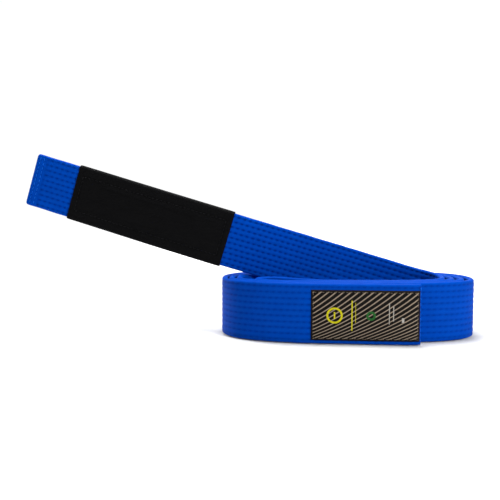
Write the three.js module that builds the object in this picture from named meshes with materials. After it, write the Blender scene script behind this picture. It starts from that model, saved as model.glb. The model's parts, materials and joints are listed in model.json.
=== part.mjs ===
// A flat stitched martial arts belt, standing on its lower edge in an oval coil. The outer end
// carries a woven label; the inner end rises out of the coil and carries a black rank sleeve.
// Millimetres, +Z up, the floor at z = 0, the origin below the centre of the whole box.
import * as THREE from 'three';

// Belt section
const BELT_WIDTH = 40;
const BELT_THICKNESS = 4.4;
const EDGE_ROUND = 1.2;
const COVER_WALL = 0.5;
const PLY_WIDTH = 38;
const PLY_THICKNESS = 1.25;
const PLY_GAP = 0.3;
const PLY_EDGE_GAP = 0.3;
const NOSE_ANGLES = [25, 50, 75];

// Oval coil: outside size, and how far each turn lies inside the one before
const COIL_LENGTH = 184;
const COIL_DEPTH = 90;
const COIL_SQUARENESS = 2.6;
const PITCH_ENDS = BELT_THICKNESS + 1.3;
const PITCH_SIDES = BELT_THICKNESS + 0.75;
const PITCH_SHIFT = 0.6;
const LABEL_END_ANGLE = -68;
const SPIRAL_TURNS = 3.16;
const SPIRAL_STEPS = 1400;
const LABEL_END_LIFT = 3.2;
const LIFTED_TURNS = 0.3;

// Inner return: the strip folds back inside the coil, then bends round into the rising tail.
// The fold's places are shares of its length and depth, from the end of the last turn
const FOLD_LENGTH = 17;
const FOLD_DEPTH = 16;
const FOLD_PLACES = [[-0.52, 0.2], [-0.9, 0.6], [-0.76, 1.12], [-0.3, 1.2], [0.5, 0.8]];
const FOLD_LEAD_STEPS = 60;
const FOLD_LANDING_STEPS = 16;
const RETURN_GAP = BELT_THICKNESS + 2;
const RETURN_TURNS_BACK = 0.3;
const RETURN_FRONT_TURNS = 0.95;
const RETURN_BACK_TURNS = 0.45;
const RETURN_FROM = -100;
const RETURN_TO = 84;
const RETURN_STEP = 0.5;

// Tail: it leaves the inner bend, rises over the far end of the coil and runs on to its tip.
// A wider or thicker belt has to rise more steeply or sooner to clear the turns
const TAIL_SLOPE = 0.0075 * BELT_WIDTH;
const RISE_START = 30 - 12.5 * BELT_THICKNESS;
const RISE_LENGTH = 76;
const TAIL_CROSSING = [-76, 12];
const TAIL_END_OFFSET = 24;
const TAIL_LEAD_STEPS = 16;
const TAIL_LEAVE_DIP = 4.2;
const TAIL_MIDDLE = [0.55, 0.6];
const TAIL_OUTER = [0.78, 5];
const TAIL_LEAVE_RUN = 0.4;
const INNER_BEND_RUN = 40;

// Rank sleeve near the tail's end; a longer one takes the tip further out
const SLEEVE_LENGTH = 122;
const TAIL_REACH = SLEEVE_LENGTH + 115;
const SLEEVE_WALL = 0.9;
const SLEEVE_TO_TIP = 35;
const SLEEVE_TO_HINGE = 6;

// Woven label on the outer end
const LABEL_LENGTH = 69.5;
const LABEL_HEIGHT = 33;
const LABEL_THICKNESS = 0.6;
const LABEL_TO_END = 1.4;
const LABEL_BOTTOM = 2.7;
const LABEL_TO_HINGE = 7;

// Stitching
const THREAD_WIDTH = 0.7;
const THREAD_THICKNESS = 0.4;
const SLEEVE_STITCH_INSET = 6.5;
const SLEEVE_STITCH_END_INSET = 4.5;
const LABEL_STITCH_INSET = 1.2;
const HEM_TO_END = 6;
const HEM_TO_EDGE = 2;
const FLAP_HEM_TO_END = 0.3;

// Clearances
const SEAT_GAP = 0.3;
const HINGE_GAP = 0.3;
const HINGE_TIP_RUN = 3.5;

// Fineness of the faceted belt: bend and lean between sections in degrees, and length
const BEND_LIMIT = 11;
const LEAN_LIMIT = 1.2;
const LONGEST_STEP = 22;
const END_MARGIN = 1.5;

const HALF_THICKNESS = BELT_THICKNESS / 2;
const HALF_WIDTH = BELT_WIDTH / 2;

const smoothStep = (u) => {
  const t = THREE.MathUtils.clamp(u, 0, 1);
  return t * t * (3 - 2 * t);
};

// A point of a superellipse at a parameter angle in degrees
function ovalPoint(a, b, centreX, degrees) {
  const angle = THREE.MathUtils.degToRad(degrees);
  const power = 2 / COIL_SQUARENESS;
  const c = Math.cos(angle);
  const s = Math.sin(angle);
  const x = centreX + a * Math.sign(c) * Math.abs(c) ** power;
  const y = b * Math.sign(s) * Math.abs(s) ** power;
  return new THREE.Vector2(x, y);
}

function spiralPoint(turns) {
  const a = COIL_LENGTH / 2 - HALF_THICKNESS - PITCH_ENDS * turns;
  const b = COIL_DEPTH / 2 - HALF_THICKNESS - PITCH_SIDES * turns;
  return ovalPoint(a, b, -PITCH_SHIFT * turns, LABEL_END_ANGLE - 360 * turns);
}

// A smooth plan curve through the points, as a number of evenly spaced ones
function smoothCurve(points, count) {
  const flat = points.map((p) => new THREE.Vector3(p.x, p.y, 0));
  const curve = new THREE.CatmullRomCurve3(flat, false, 'centripetal');
  return curve.getSpacedPoints(count).map((p) => new THREE.Vector2(p.x, p.y));
}

function spiralPoints() {
  const points = [];
  const labelReach = LABEL_LENGTH + LABEL_TO_END;
  for (let i = 0; i <= SPIRAL_STEPS; i += 1) {
    const turns = (SPIRAL_TURNS * i) / SPIRAL_STEPS;
    const p = spiralPoint(turns);
    if (turns < LIFTED_TURNS) {
      const run = p.x - spiralPoint(0).x + labelReach;
      p.y -= LABEL_END_LIFT * smoothStep(run / labelReach) ** 2;
    }
    points.push(p);
  }
  return points;
}

// The return along the front and round the innermost bend
function returnPoints() {
  const turnsAtRight = SPIRAL_TURNS - RETURN_TURNS_BACK;
  const sideB = (turns) => COIL_DEPTH / 2 - HALF_THICKNESS - PITCH_SIDES * (SPIRAL_TURNS + turns);
  const returnA = COIL_LENGTH / 2 - HALF_THICKNESS - PITCH_ENDS * turnsAtRight - RETURN_GAP;
  const frontB = sideB(RETURN_FRONT_TURNS);
  const backB = sideB(RETURN_BACK_TURNS);
  const points = [];
  for (let degrees = RETURN_FROM; degrees <= RETURN_TO; degrees += RETURN_STEP) {
    const share = (degrees + 90) / 180;
    const b = frontB + (backB - frontB) * share;
    points.push(ovalPoint(returnA, b, -PITCH_SHIFT * turnsAtRight, degrees));
  }
  return points;
}

// The belt's centreline in plan, from the label end to the tip of the tail
function planPoints() {
  const points = spiralPoints();
  const last = points[points.length - 1];
  const inner = returnPoints();
  const foldPoints = smoothCurve([
    points[points.length - FOLD_LEAD_STEPS],
    last,
    ...FOLD_PLACES.map(([along, inward]) => (
      new THREE.Vector2(last.x + FOLD_LENGTH * along, last.y + FOLD_DEPTH * inward))),
    inner[0],
    inner[FOLD_LANDING_STEPS],
  ], 260);
  const nearest = (target) => foldPoints.reduce((best, p, i) => (
    p.distanceTo(target) < foldPoints[best].distanceTo(target) ? i : best), 0);
  points.push(...foldPoints.slice(nearest(last) + 1, nearest(inner[0])));
  points.push(...inner);
  const leave = inner[inner.length - 1];
  const [crossX, crossY] = TAIL_CROSSING;
  const tailPoints = smoothCurve([
    inner[inner.length - TAIL_LEAD_STEPS],
    leave,
    new THREE.Vector2((leave.x + crossX) / 2, leave.y - TAIL_LEAVE_DIP),
    new THREE.Vector2(crossX, crossY),
    new THREE.Vector2(-TAIL_REACH * TAIL_MIDDLE[0], crossY + TAIL_MIDDLE[1]),
    new THREE.Vector2(-TAIL_REACH * TAIL_OUTER[0], TAIL_END_OFFSET - TAIL_OUTER[1]),
    new THREE.Vector2(-TAIL_REACH, TAIL_END_OFFSET),
  ], 500);
  const start = tailPoints.findIndex((p) => p.x < leave.x - TAIL_LEAVE_RUN && p.y > 0);
  points.push(...tailPoints.slice(start));
  return points;
}

// Stations along the belt: place, tangent, width and thickness directions, length from the end
function buildPath() {
  const plan = planPoints();
  const run = [0];
  for (let i = 1; i < plan.length; i += 1) {
    run.push(run[i - 1] + plan[i].distanceTo(plan[i - 1]));
  }
  let apex = 0;
  for (let i = plan.length - 1; i > 0; i -= 1) {
    if (plan[i].x > plan[apex].x || apex === 0) {
      apex = i;
    }
    if (run[apex] - run[i] > INNER_BEND_RUN) {
      break;
    }
  }
  const path = [];
  let height = HALF_WIDTH;
  let length = 0;
  for (let i = 0; i < plan.length; i += 1) {
    const before = plan[Math.max(0, i - 1)];
    const after = plan[Math.min(plan.length - 1, i + 1)];
    const slope = TAIL_SLOPE * smoothStep((run[i] - run[apex] - RISE_START) / RISE_LENGTH);
    if (i > 0) {
      const step = run[i] - run[i - 1];
      height += slope * step;
      length += step * Math.hypot(1, slope);
    }
    const flat = after.clone().sub(before).normalize();
    const tangent = new THREE.Vector3(flat.x, flat.y, slope).normalize();
    const normal = new THREE.Vector3(-flat.y, flat.x, 0);
    const across = new THREE.Vector3().crossVectors(normal, tangent).negate();
    if (across.z < 0) {
      across.negate();
    }
    path.push({
      place: new THREE.Vector3(plan[i].x, plan[i].y, height), tangent, normal, across, length,
    });
  }
  return path;
}

const path = buildPath();
const BELT_LENGTH = path[path.length - 1].length;

function stationAt(length) {
  let high = path.findIndex((station) => station.length >= length);
  if (high < 1) {
    high = length <= 0 ? 1 : path.length - 1;
  }
  const a = path[high - 1];
  const b = path[high];
  const t = (length - a.length) / (b.length - a.length);
  return {
    place: a.place.clone().lerp(b.place, t),
    tangent: a.tangent.clone().lerp(b.tangent, t).normalize(),
    normal: a.normal.clone().lerp(b.normal, t).normalize(),
    across: a.across.clone().lerp(b.across, t).normalize(),
    length,
  };
}

// Lengths at which the belt has a section, the same for every layer: close together where it bends
const gridLengths = [];
let gridStation = path[0];
for (const station of path) {
  const bend = THREE.MathUtils.radToDeg(station.tangent.angleTo(gridStation.tangent));
  const lean = THREE.MathUtils.radToDeg(station.across.angleTo(gridStation.across));
  const step = station.length - gridStation.length;
  if (bend >= BEND_LIMIT || lean >= LEAN_LIMIT || step >= LONGEST_STEP) {
    gridLengths.push(station.length);
    gridStation = station;
  }
}

function sectionLengths(from, to) {
  const inside = gridLengths.filter((length) => (
    length > from + END_MARGIN && length < to - END_MARGIN));
  return [from, ...inside, to];
}

// A section is a list of [across, thickness] pairs
function roundedSection(halfWidth, halfThickness, round) {
  const side = halfThickness - round;
  const flat = halfWidth - round;
  return [
    [halfWidth, -side], [halfWidth, side], [flat, halfThickness], [-flat, halfThickness],
    [-halfWidth, side], [-halfWidth, -side], [-flat, -halfThickness], [flat, -halfThickness],
  ];
}

function plainSection(lowAcross, highAcross, lowThick, highThick) {
  return [
    [highAcross, lowThick], [highAcross, highThick], [lowAcross, highThick], [lowAcross, lowThick],
  ];
}

function ring(station, section, squeeze = 1) {
  return section.map(([u, v]) => station.place.clone()
    .addScaledVector(station.across, u)
    .addScaledVector(station.normal, v * squeeze));
}

// One section swept through stations at these lengths
function sweep(lengths, section) {
  return lengths.map((length) => ({ points: ring(stationAt(length), section), section }));
}

// A closed mesh from rings of points; every loop of rings is a wall, and the ends are joined
function meshFromRings(outer, inner = [], openEnds = { start: true, end: true }) {
  const vertices = [];
  const faces = [];
  const addLoops = (rings) => rings.map(({ points, section }) => {
    const first = vertices.length;
    vertices.push(...points);
    const points2 = section.map(([u, v]) => new THREE.Vector2(u, v));
    return { first, count: points.length, points2 };
  });
  // Every quad is split from its lower edge behind to its upper edge ahead, so layers stay parallel
  const wall = (rings, turned) => {
    for (let k = 0; k + 1 < rings.length; k += 1) {
      const { count, first, points2 } = rings[k];
      const next = rings[k + 1].first;
      for (let i = 0; i < count; i += 1) {
        const j = (i + 1) % count;
        const rising = points2[i].x < points2[j].x;
        const pieces = rising
          ? [[first + i, first + j, next + j], [first + i, next + j, next + i]]
          : [[first + i, first + j, next + i], [first + j, next + j, next + i]];
        faces.push(...(turned ? pieces.map((face) => face.reverse()) : pieces));
      }
    }
  };
  const cap = (loop, turned) => {
    for (let i = 1; i + 1 < loop.count; i += 1) {
      const face = [loop.first, loop.first + i, loop.first + i + 1];
      faces.push(turned ? face.reverse() : face);
    }
  };
  const annulus = (loop, hole, turned) => {
    const pieces = THREE.ShapeUtils.triangulateShape(loop.points2, [hole.points2]);
    const index = (i) => (i < loop.count ? loop.first + i : hole.first + i - loop.count);
    for (const piece of pieces) {
      const face = piece.map(index);
      faces.push(turned ? face.reverse() : face);
    }
  };
  const outerLoops = addLoops(outer);
  const innerLoops = addLoops(inner);
  wall(outerLoops, false);
  wall(innerLoops, true);
  const outerEnd = outerLoops[outerLoops.length - 1];
  if (innerLoops.length === 0) {
    cap(outerLoops[0], true);
    cap(outerEnd, false);
  } else {
    const innerEnd = innerLoops[innerLoops.length - 1];
    if (openEnds.start) {
      annulus(outerLoops[0], innerLoops[0], true);
    } else {
      cap(outerLoops[0], true);
      cap(innerLoops[0], false);
    }
    if (openEnds.end) {
      annulus(outerEnd, innerEnd, false);
    } else {
      cap(outerEnd, false);
      cap(innerEnd, true);
    }
  }
  return orientOutward(vertices, faces);
}

// Faces of one closed body, turned to face out
function orientOutward(vertices, faces) {
  let volume = 0;
  for (const [a, b, c] of faces) {
    volume += vertices[a].dot(new THREE.Vector3().crossVectors(vertices[b], vertices[c]));
  }
  const geometry = new THREE.BufferGeometry();
  const places = vertices.flatMap((p) => p.toArray());
  geometry.setAttribute('position', new THREE.Float32BufferAttribute(places, 3));
  geometry.setIndex(faces.flatMap((face) => (volume < 0 ? [face[0], face[2], face[1]] : face)));
  geometry.computeVertexNormals();
  return geometry;
}

// One stretch of belt cover: a flat tube, with a half-round nose where it turns in a hinge
function coverGeometry(from, to, nose = 0) {
  const section = roundedSection(HALF_WIDTH, HALF_THICKNESS, EDGE_ROUND);
  const hollow = plainSection(
    -HALF_WIDTH + COVER_WALL + PLY_EDGE_GAP, HALF_WIDTH - COVER_WALL - PLY_EDGE_GAP,
    -HALF_THICKNESS + COVER_WALL, HALF_THICKNESS - COVER_WALL,
  );
  const lengths = sectionLengths(from, to);
  const outer = sweep(lengths, section);
  const cavityLengths = [...lengths];
  if (nose !== 0) {
    const hinge = nose < 0 ? from : to;
    const station = stationAt(hinge);
    const rounds = NOSE_ANGLES.map((degrees) => {
      const angle = THREE.MathUtils.degToRad(degrees);
      const end = { ...station, place: station.place.clone() };
      end.place.addScaledVector(station.tangent, nose * HALF_THICKNESS * Math.sin(angle));
      return { points: ring(end, section, Math.cos(angle)), section };
    });
    if (nose < 0) {
      outer.unshift(...rounds.reverse());
      cavityLengths[0] = from + COVER_WALL;
    } else {
      outer.push(...rounds);
      cavityLengths[cavityLengths.length - 1] = to - COVER_WALL;
    }
  }
  return meshFromRings(outer, sweep(cavityLengths, hollow), { start: nose >= 0, end: nose <= 0 });
}

// One core ply inside a stretch of cover, on one side of the middle
function plyGeometry(from, to, side) {
  const low = PLY_GAP / 2;
  const high = low + PLY_THICKNESS;
  const section = plainSection(
    -PLY_WIDTH / 2, PLY_WIDTH / 2, side > 0 ? low : -high, side > 0 ? high : -low,
  );
  return meshFromRings(sweep(sectionLengths(from, to), section));
}

function sleeveGeometry(from, to) {
  const inside = roundedSection(HALF_WIDTH + SEAT_GAP, HALF_THICKNESS + SEAT_GAP, EDGE_ROUND);
  const grown = SEAT_GAP + SLEEVE_WALL;
  const outside = roundedSection(
    HALF_WIDTH + grown, HALF_THICKNESS + grown, EDGE_ROUND + SLEEVE_WALL / 2,
  );
  const lengths = sectionLengths(from, to);
  return meshFromRings(sweep(lengths, outside), sweep(lengths, inside));
}

// A flat piece on one face of the belt: the label, or a hem's thread
function patchGeometry(from, to, lowAcross, highAcross, lowThick, highThick) {
  const section = plainSection(lowAcross, highAcross, lowThick, highThick);
  return meshFromRings(sweep(sectionLengths(from, to), section));
}

// A rectangular frame of thread on one face of the belt
function frameGeometry(from, to, lowAcross, highAcross, lowThick, highThick) {
  const vertices = [];
  const faces = [];
  const between = sectionLengths(from, to).slice(1, -1);
  const inset = THREAD_WIDTH;
  const lengths = [from, from + inset, ...between, to - inset, to];
  const columns = [lowAcross, lowAcross + inset, highAcross - inset, highAcross];
  const rows = lengths.map((length) => columns.map((u) => {
    vertices.push(...ring(stationAt(length), [[u, lowThick], [u, highThick]]));
    return [vertices.length - 2, vertices.length - 1];
  }));
  const solid = (k, c) => k >= 0 && k < rows.length - 1 && c >= 0 && c < 3
    && (k === 0 || k === rows.length - 2 || c !== 1);
  const quad = (a, b, c, d) => faces.push([a, b, c], [a, c, d]);
  for (let k = 0; k < rows.length - 1; k += 1) {
    for (let c = 0; c < 3; c += 1) {
      if (!solid(k, c)) {
        continue;
      }
      const [p, q, r, s] = [rows[k][c], rows[k + 1][c], rows[k + 1][c + 1], rows[k][c + 1]];
      quad(p[1], q[1], r[1], s[1]);
      quad(s[0], r[0], q[0], p[0]);
      if (!solid(k, c - 1)) {
        quad(p[0], q[0], q[1], p[1]);
      }
      if (!solid(k, c + 1)) {
        quad(s[1], r[1], r[0], s[0]);
      }
      if (!solid(k - 1, c)) {
        quad(p[0], p[1], s[1], s[0]);
      }
      if (!solid(k + 1, c)) {
        quad(q[1], q[0], r[0], r[1]);
      }
    }
  }
  return orientOutward(vertices, faces);
}

const fabric = (colour, roughness) => () => new THREE.MeshStandardMaterial({
  color: colour, roughness, metalness: 0,
});
const blueCotton = fabric(0x0a4fc0, 0.85);
const blueThread = fabric(0x1258cc, 0.7);
const corePadding = fabric(0xd8d4c8, 0.9);
const blackCotton = fabric(0x121214, 0.85);
const blackThread = fabric(0x1c1c1e, 0.7);
const wovenLabel = fabric(0x4a443e, 0.6);
const labelThread = fabric(0x2a2622, 0.7);

const belt = new THREE.Group();

function addPiece(name, geometry, material) {
  const mesh = new THREE.Mesh(geometry, material());
  mesh.name = name;
  belt.add(mesh);
}

// Cuts along the belt, measured from the label end
const flapHinge = LABEL_TO_END + LABEL_LENGTH + LABEL_TO_HINGE;
const sleeveEnd = BELT_LENGTH - SLEEVE_TO_TIP;
const sleeveStart = sleeveEnd - SLEEVE_LENGTH;
const tailHinge = sleeveStart - SLEEVE_TO_HINGE;
const tipHinge = sleeveEnd + HINGE_TIP_RUN;
const hingeClear = HALF_THICKNESS + HINGE_GAP;

// A stretch of belt is its cover and the two core plies inside it
function addBelt(name, from, to, nose = 0) {
  addPiece(`${name}_cover`, coverGeometry(from, to, nose), blueCotton);
  const plyFrom = from + (nose < 0 ? COVER_WALL : 0) + SEAT_GAP;
  const plyTo = to - (nose > 0 ? COVER_WALL : 0) - SEAT_GAP;
  addPiece(`${name}_inner_ply`, plyGeometry(plyFrom, plyTo, 1), corePadding);
  addPiece(`${name}_outer_ply`, plyGeometry(plyFrom, plyTo, -1), corePadding);
}

addBelt('label_flap', 0, flapHinge, 1);
addBelt('coil', flapHinge + hingeClear, tailHinge - hingeClear);
addBelt('tail', tailHinge, tipHinge - hingeClear, -1);
addBelt('tip', tipHinge, BELT_LENGTH, -1);

// The thickness direction that faces outward on the label and on each side of the tail
const labelSide = stationAt(LABEL_LENGTH / 2).normal.y < 0 ? 1 : -1;
const onSide = (side, low, high) => (side > 0 ? [low, high] : [-high, -low]);

const labelFloor = HALF_THICKNESS + SEAT_GAP;
const labelLow = -HALF_WIDTH + LABEL_BOTTOM;
addPiece('woven_label', patchGeometry(
  LABEL_TO_END, LABEL_TO_END + LABEL_LENGTH, labelLow, labelLow + LABEL_HEIGHT,
  ...onSide(labelSide, labelFloor, labelFloor + LABEL_THICKNESS),
), wovenLabel);
const labelThreadFloor = labelFloor + LABEL_THICKNESS + SEAT_GAP;
addPiece('label_border_stitching', frameGeometry(
  LABEL_TO_END + LABEL_STITCH_INSET, LABEL_TO_END + LABEL_LENGTH - LABEL_STITCH_INSET,
  labelLow + LABEL_STITCH_INSET, labelLow + LABEL_HEIGHT - LABEL_STITCH_INSET,
  ...onSide(labelSide, labelThreadFloor, labelThreadFloor + THREAD_THICKNESS),
), labelThread);
addPiece('label_end_hem_stitching', patchGeometry(
  FLAP_HEM_TO_END, FLAP_HEM_TO_END + THREAD_WIDTH,
  -HALF_WIDTH + HEM_TO_EDGE, HALF_WIDTH - HEM_TO_EDGE,
  ...onSide(labelSide, labelFloor, labelFloor + THREAD_THICKNESS),
), blueThread);

addPiece('rank_sleeve', sleeveGeometry(sleeveStart, sleeveEnd), blackCotton);
const sleeveFace = HALF_THICKNESS + SEAT_GAP + SLEEVE_WALL + SEAT_GAP;
for (const [name, side] of [['sleeve_stitching_inner', 1], ['sleeve_stitching_outer', -1]]) {
  addPiece(name, frameGeometry(
    sleeveStart + SLEEVE_STITCH_END_INSET, sleeveEnd - SLEEVE_STITCH_END_INSET,
    -HALF_WIDTH + SLEEVE_STITCH_INSET, HALF_WIDTH - SLEEVE_STITCH_INSET,
    ...onSide(side, sleeveFace, sleeveFace + THREAD_THICKNESS),
  ), blackThread);
}
const hemFloor = HALF_THICKNESS + SEAT_GAP;
for (const [name, side] of [['tip_hem_stitching_inner', 1], ['tip_hem_stitching_outer', -1]]) {
  addPiece(name, patchGeometry(
    BELT_LENGTH - HEM_TO_END, BELT_LENGTH - HEM_TO_END + THREAD_WIDTH,
    -HALF_WIDTH + HEM_TO_EDGE, HALF_WIDTH - HEM_TO_EDGE,
    ...onSide(side, hemFloor, hemFloor + THREAD_THICKNESS),
  ), blueThread);
}

// The origin lies below the centre of the box
const box = new THREE.Box3().setFromObject(belt);
belt.position.set(-(box.min.x + box.max.x) / 2, -(box.min.y + box.max.y) / 2, -box.min.z);

export default belt;
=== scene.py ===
"""The coiled belt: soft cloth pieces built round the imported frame. Lengths here are millimetres
until a mesh is made; every Blender object is in metres, in the row frame."""
import json
import math

import bmesh
import bpy
import numpy as np
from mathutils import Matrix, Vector


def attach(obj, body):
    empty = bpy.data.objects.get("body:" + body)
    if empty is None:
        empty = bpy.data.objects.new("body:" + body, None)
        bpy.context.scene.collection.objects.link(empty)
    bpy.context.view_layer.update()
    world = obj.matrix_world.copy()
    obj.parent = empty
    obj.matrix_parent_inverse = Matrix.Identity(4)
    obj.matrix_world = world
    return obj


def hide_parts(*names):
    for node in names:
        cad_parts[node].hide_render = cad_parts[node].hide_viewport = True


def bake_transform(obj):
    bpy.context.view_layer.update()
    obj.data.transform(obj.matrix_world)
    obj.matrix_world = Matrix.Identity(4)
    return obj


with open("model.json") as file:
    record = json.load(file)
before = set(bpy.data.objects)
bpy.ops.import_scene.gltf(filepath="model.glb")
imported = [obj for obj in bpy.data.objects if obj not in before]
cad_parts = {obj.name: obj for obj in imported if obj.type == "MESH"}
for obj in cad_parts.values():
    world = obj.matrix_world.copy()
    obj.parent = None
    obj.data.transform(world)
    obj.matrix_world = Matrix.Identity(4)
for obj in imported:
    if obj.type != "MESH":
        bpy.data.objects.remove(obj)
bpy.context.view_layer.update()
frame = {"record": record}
MM = 0.001
JOINTS = {joint["name"]: joint for joint in frame["record"]["behaviour"]["joints"]}

# ---------------------------------------------------------------- sizes, the same as the CAD part's
BELT_WIDTH = 40.0
BELT_THICKNESS = 4.4
COIL_LENGTH = 184.0
COIL_DEPTH = 90.0
COIL_SQUARENESS = 2.6
PITCH_ENDS = 5.7
PITCH_SIDES = 5.15
PITCH_SHIFT = 0.6
LABEL_END_ANGLE = -68.0
SPIRAL_TURNS = 3.16
LABEL_END_LIFT = 3.2
FOLD_LENGTH = 17.0
FOLD_DEPTH = 16.0
RETURN_GAP = 6.4
TAIL_SLOPE = 0.3
RISE_START = -25.0
RISE_LENGTH = 76.0
TAIL_REACH = 237.0
TAIL_CROSSING = (-76.0, 12.0)
TAIL_END_OFFSET = 24.0
SLEEVE_LENGTH = 122.0
SLEEVE_TO_TIP = 35.0
SLEEVE_TO_HINGE = 6.0
LABEL_LENGTH = 69.5
LABEL_HEIGHT = 33.0
LABEL_TO_END = 1.4
LABEL_BOTTOM = 2.7
LABEL_TO_HINGE = 7.0

HALF_THICKNESS = BELT_THICKNESS / 2
HALF_WIDTH = BELT_WIDTH / 2

# ---------------------------------------------------------------- how the centreline is drawn
SPIRAL_STEPS = 1400
LIFTED_TURNS = 0.3  # only this first stretch leans away from the turn behind it
RETURN_RIGHT_TURNS = 0.3  # the return turns beside the coil this far before the spiral's end
RETURN_FRONT_TURNS = 0.95
RETURN_BACK_TURNS = 0.45
RETURN_ANGLES = (-100, 84.25, 0.5)  # degrees from, up to, and the step
FOLD_LEAD_STEPS = 60
# The fold's places, as shares of its length and depth, from the end of the last turn
FOLD_PLACES = ((-0.52, 0.2), (-0.9, 0.6), (-0.76, 1.12), (-0.3, 1.2), (0.5, 0.8))
FOLD_STEPS = 260
RETURN_LEAD_STEPS = 16
TAIL_LEAVE_DIP = 4.2
TAIL_MIDDLE = (0.55, 0.6)  # share of the reach, and how far beyond the crossing's offset
TAIL_OUTER = (0.78, 5.0)  # share of the reach, and how far short of the end's offset
TAIL_STEPS = 500
TAIL_LEAVE_RUN = 0.4
CURVE_STEPS = 80
PATH_STEPS = 3600
LATE_RUN = 500.0  # the last right-hand bend lies within this length of the belt's end
SOFTEN_STEPS = 9  # small kinks are eased over this many points each way

# ---------------------------------------------------------------- cloth detail
CLOTH_HALF_WIDTH = 19.85
CLOTH_HALF_THICKNESS = 2.08
EDGE_ROUND = 1.55
ROWS = 10
ROW_SPAN = 34.8
STITCH_PITCH = 4.3
GROOVE_DEPTH = 0.22
GROOVE_WIDTH = 0.75
DIMPLE_DEPTH = 0.6
DIMPLE_RUN = 1.25
ALONG_STEP = 1.075
CORNER_RADIUS = 1.8
COIL_PUFF = 0.38  # how much the pulled turns puff, where the loose tail's share is 1
TIP_EASE = 0.35
LOOSE_RUN = 270.0  # the cloth is looser within this length before the tail's hinge
LOOSE_BLEND = 90.0
GROOVE_FLAT_SHARE = 0.5  # share of the groove's depth that doesn't depend on the puff
# painted shade along the stitched rows, deepest in their dimples on the loose tail
GROOVE_SHADE = 0.34
GROOVE_SHADE_LOSS = 0.22
FACE_POINTS = 62
EDGE_POINTS = 5
DRIFT = 0.35  # stitch lines slip along the belt by up to this share of a stitch
DRIFT_RUN = 90
ROW_STAGGER = 0.06
END_GAP = 0.35
HEM_PLAIN_RUN = 7.5  # no quilting nearer the tip than this
HEM_PLAIN_BLEND = 2.5
TIP_HEM_LINES = (3.2, 6.4, 9.0)
TIP_HEM = (0.85, 0.8)  # how strongly a hem line is drawn in, and how wide it is
LABEL_END_HEM_LINE = 0.9
LABEL_END_HEM = (1.0, 0.5)
HEM_DEPTH = 0.28
# painted shade in the drawn-in hem lines
HEM_SHADE = 0.45
END_SQUEEZE_RUN = 0.55
TIP_SQUEEZE = 0.55
LABEL_END_SQUEEZE = 0.5
TIP_CLOSE_RINGS = (0.15, 0.4, 0.7)
SHARP_ANGLE = 55
EDGE_SHADE = 0.05
EDGE_WAVE = 0.1
SWELL = 0.05
FACING = 0.9  # how squarely a point must look out to count as part of a face
BACK_FACE_SHIFT = 60  # keeps the two faces apart in the UV map

# Seeds of the noise, one for each use
DRIFT_SEED = 5
WANDER_SEEDS = (11, 12)
SWELL_SEED = 21
EDGE_SEED = 33
SLEEVE_SEEDS = (41, 42, 43)
LABEL_SEEDS = (61, 62)
NOISE_CELLS = 4096


def smooth_step(u):
    t = np.clip(u, 0.0, 1.0)
    return t * t * (3 - 2 * t)


# ---------------------------------------------------------------- the belt's centreline
def oval_points(a, b, centre_x, degrees):
    angle = np.radians(degrees)
    power = 2 / COIL_SQUARENESS
    c, s = np.cos(angle), np.sin(angle)
    x = centre_x + a * np.sign(c) * np.abs(c) ** power
    y = b * np.sign(s) * np.abs(s) ** power
    return np.stack([x, y], -1)


def half_length(turns):
    return COIL_LENGTH / 2 - HALF_THICKNESS - PITCH_ENDS * turns


def half_depth(turns):
    return COIL_DEPTH / 2 - HALF_THICKNESS - PITCH_SIDES * turns


def spiral_points(turns):
    return oval_points(half_length(turns), half_depth(turns), -PITCH_SHIFT * turns,
                       LABEL_END_ANGLE - 360 * turns)


def smooth_curve(points, count):
    """A centripetal Catmull-Rom curve through the points, sampled evenly along its length."""
    points = np.asarray(points, float)
    padded = np.vstack([2 * points[0] - points[1], points, 2 * points[-1] - points[-2]])
    out = []
    for k in range(len(points) - 1):
        p0, p1, p2, p3 = padded[k:k + 4]
        d0, d1, d2 = (np.linalg.norm(b - a) ** 0.5 for a, b in ((p0, p1), (p1, p2), (p2, p3)))
        t1 = ((p1 - p0) / d0 - (p2 - p0) / (d0 + d1) + (p2 - p1) / d1) * d1
        t2 = ((p2 - p1) / d1 - (p3 - p1) / (d1 + d2) + (p3 - p2) / d2) * d1
        t = np.linspace(0, 1, CURVE_STEPS, endpoint=k == len(points) - 2)[:, None]
        square = -3 * p1 + 3 * p2 - 2 * t1 - t2
        cube = 2 * p1 - 2 * p2 + t1 + t2
        out.append(p1 + t1 * t + square * t**2 + cube * t**3)
    dense = np.vstack(out)
    run = np.concatenate([[0], np.cumsum(np.linalg.norm(np.diff(dense, axis=0), axis=1))])
    even = np.linspace(0, run[-1], count)
    return np.stack([np.interp(even, run, dense[:, i]) for i in (0, 1)], -1)


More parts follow.
